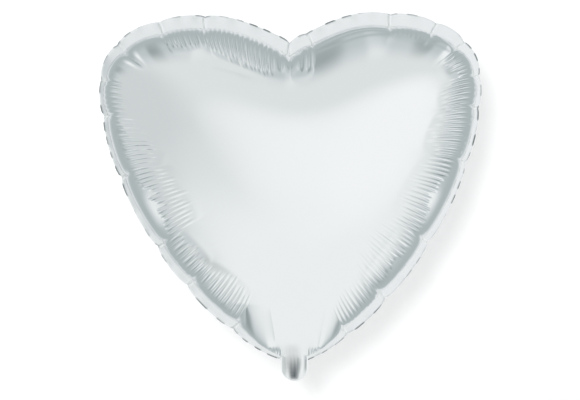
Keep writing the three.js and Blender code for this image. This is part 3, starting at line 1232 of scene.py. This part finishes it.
@dataclass
class Studio:
    """Plain pale surroundings: a floor, a backdrop, one soft light and the air that the foil mirrors."""

    floor_height: float = -55 * MM
    wall_depth: float = 125 * MM
    half: float = 12.0  # half the width of the floor and the backdrop
    key_power: float = 36.0
    key_size: float = 0.7
    key_place: tuple = (-0.42, -2.5, 0.62)
    key_target: tuple = (0.0, 0.0, 0.16)
    strips: float = 9.0  # bright strips of the surroundings in one turn round Y
    camera_distance: float = 2.0
    camera_place: tuple = (-2.1 * MM, 160 * MM)  # X and Z
    view_width: float = 580 * MM
    lean: float = math.radians(0.9)
    # Colour and direction of each glow, and the cosines of the angles at which it starts and is full.
    glows: tuple = (
        ((0.82, 0.85, 0.86), (0.0, 1.0, 0.0), 0.72, 0.95),
        ((0.79, 0.82, 0.825), (0.0, -1.0, 0.0), -0.15, 0.45),
        ((0.68, 0.715, 0.72), (-0.9, -0.45, 0.1), 0.50, 0.90),
        ((0.93, 0.95, 0.955), (0.1, -0.55, -0.85), 0.40, 0.85),
        ((0.86, 0.88, 0.89), (0.22, -0.97, 0.05), 0.84, 0.99),
        ((0.99, 1.0, 1.01), (0.44, -0.88, 0.04), 0.70, 0.97),
    )

    def backdrop(self) -> None:
        """Adds the floor and the backdrop, which can be seen through from behind."""
        material = bpy.data.materials.new("pale_backdrop")
        material.use_nodes = True
        build = NodeBuilder(material.node_tree)
        place = build.add("ShaderNodeTexCoord").outputs["Object"]
        paper = build.add("ShaderNodeTexNoise", {"Vector": place, "Scale": 2.5, "Detail": 3.0})
        tone = build.mix(paper.outputs["Fac"], (0.612, 0.612, 0.612, 1.0), (0.628, 0.628, 0.628, 1.0))
        matt = build.add("ShaderNodeBsdfDiffuse", {"Color": tone})
        glow = build.add("ShaderNodeEmission", {"Color": (1.0, 1.0, 1.0, 1.0), "Strength": 0.36})
        both = build.add("ShaderNodeAddShader", {0: matt.outputs[0], 1: glow.outputs[0]})
        clear = build.add("ShaderNodeBsdfTransparent")
        behind = build.add("ShaderNodeNewGeometry").outputs["Backfacing"]
        mix = build.add("ShaderNodeMixShader", {0: behind, 1: both.outputs[0], 2: clear.outputs[0]})
        build.add("ShaderNodeOutputMaterial", {"Surface": mix.outputs[0]})
        low, half, depth = self.floor_height, self.half, self.wall_depth
        floor = [[-half, -half, low], [half, -half, low], [half, depth, low], [-half, depth, low]]
        wall = [[-half, depth, low], [half, depth, low], [half, depth, half], [-half, depth, half]]
        for name, corners in (("floor", floor), ("backdrop", wall)):
            surface = new_piece(name, np.array(corners), [(0, 1, 2, 3)])
            surface.data.materials.append(material)
            surface.visible_glossy = False

    def light(self) -> None:
        """Adds one large soft light near the camera, up and to the left."""
        lamp = bpy.data.lights.new("key_light", "AREA")
        lamp.shape = "DISK"
        lamp.size = self.key_size
        lamp.energy = self.key_power
        key = bpy.data.objects.new("key_light", lamp)
        place, target = Vector(self.key_place), Vector(self.key_target)
        key.location = place
        key.rotation_euler = (target - place).to_track_quat("-Z", "Y").to_euler()
        key.visible_glossy = False
        bpy.context.scene.collection.objects.link(key)

    def air(self) -> None:
        """Sets the surroundings: bright in front, paler to the left and above, grey round the sides."""
        world = bpy.data.worlds.new("studio_air")
        bpy.context.scene.world = world
        world.use_nodes = True
        build = NodeBuilder(world.node_tree)
        direction = build.add("ShaderNodeTexCoord").outputs["Generated"]
        axes = build.add("ShaderNodeSeparateXYZ", {0: direction})

        def glow(towards: tuple, wide: float, narrow: float) -> bpy.types.NodeSocket:
            """Masks a soft round patch of the surroundings.

            Args:
                towards: Direction of its middle.
                wide: Cosine of the angle from there at which the mask is 0.
                narrow: Cosine of the angle from there at which the mask is 1.

            Returns:
                The mask.
            """
            middle = Vector(towards).normalized()
            facing = build.add("ShaderNodeVectorMath", {0: direction, 1: middle}, operation="DOT_PRODUCT")
            return build.ramp(facing.outputs["Value"], wide, narrow)

        azimuth = build.math("ARCTAN2", axes.outputs["Z"], axes.outputs["X"])
        swing = build.math("SINE", build.math("MULTIPLY", azimuth, self.strips))
        beside = glow((0.05, 0.25, 1.0), 1.08, 0.84)
        bright = build.math("MULTIPLY", build.ramp(swing, 0.62, 0.98), beside)
        dark = build.math("MULTIPLY", build.ramp(swing, -0.55, -0.97), beside)
        ring = build.mix(bright, (0.57, 0.62, 0.63, 1.0), (0.97, 0.99, 1.0, 1.0))
        ring = build.mix(dark, ring, (0.29, 0.335, 0.34, 1.0))
        colour = build.mix(glow((0.0, -1.0, 0.0), -0.62, -0.16), (0.46, 0.515, 0.525, 1.0), ring)
        for shade, towards, wide, narrow in self.glows:
            colour = build.mix(glow(towards, wide, narrow), colour, (*shade, 1.0))
        mirrored = build.add("ShaderNodeBackground", {"Color": colour, "Strength": 1.0})
        plain = build.add("ShaderNodeBackground", {"Color": (1.0, 1.0, 1.0, 1.0), "Strength": 1.0})
        seen = build.add("ShaderNodeLightPath").outputs["Is Camera Ray"]
        both = build.add("ShaderNodeMixShader", {0: seen, 1: mirrored.outputs[0], 2: plain.outputs[0]})
        build.add("ShaderNodeOutputWorld", {"Surface": both.outputs[0]})

    def camera(self) -> None:
        """Adds the camera, square on to the front and rolled by the balloon's small lean."""
        lens = bpy.data.cameras.new("camera")
        lens.sensor_width = 36.0
        lens.lens = lens.sensor_width * self.camera_distance / self.view_width
        lens.clip_end = 20.0
        camera = bpy.data.objects.new("camera", lens)
        turn = Matrix((
            (math.cos(self.lean), math.sin(self.lean), 0.0),
            (0.0, 0.0, -1.0),
            (-math.sin(self.lean), math.cos(self.lean), 0.0),
        ))
        place = Vector((self.camera_place[0], -self.camera_distance, self.camera_place[1]))
        camera.matrix_world = Matrix.Translation(place) @ turn.to_4x4()
        bpy.context.scene.collection.objects.link(camera)
        bpy.context.scene.camera = camera
        bpy.context.scene.view_settings.view_transform = "Standard"


def main() -> None:
    """Builds the balloon and its surroundings, and reports each piece."""
    logging.basicConfig(level=logging.INFO, format="%(message)s")
    grain = film_grain_group()
    foil = FoilFinish("silver_foil").material(grain)
    sealed = FoilFinish("sealed_foil", gloss=0.22, dull=0.3).material(grain)
    clear = ClearFilmFinish("valve_film").material(grain)
    coat = ClearFilmFinish("release_coat", (0.62, 0.70, 0.78, 1.0), 0.6, 0.9).material(grain)

    layout = Layout(CutEdge())
    swell = Swell(layout, Dome(layout), Rows())
    front, back, seam = FoilSkin(swell, Face.FRONT), FoilSkin(swell, Face.BACK), SeamBand(swell)
    for maker, finish in ((front, foil), (back, foil), (seam, sealed)):
        piece = maker.build()
        maker.dress(piece, finish)
        maker.attach(piece)
        LOG.info("%s: %d faces", piece.name, len(piece.data.polygons))

    inside = Inside(frame["nodes"])
    for node in ("tail_weld_right", "tail_weld_left"):
        inside.dress(node, sealed)
    for node in ("valve_front_film", "valve_back_film", "valve_weld_right", "valve_weld_left"):
        inside.dress(node, clear)
    inside.dress("valve_release_coat", coat)

    studio = Studio()
    studio.backdrop()
    studio.light()
    studio.air()
    studio.camera()


if __name__ == "__main__":
    main()
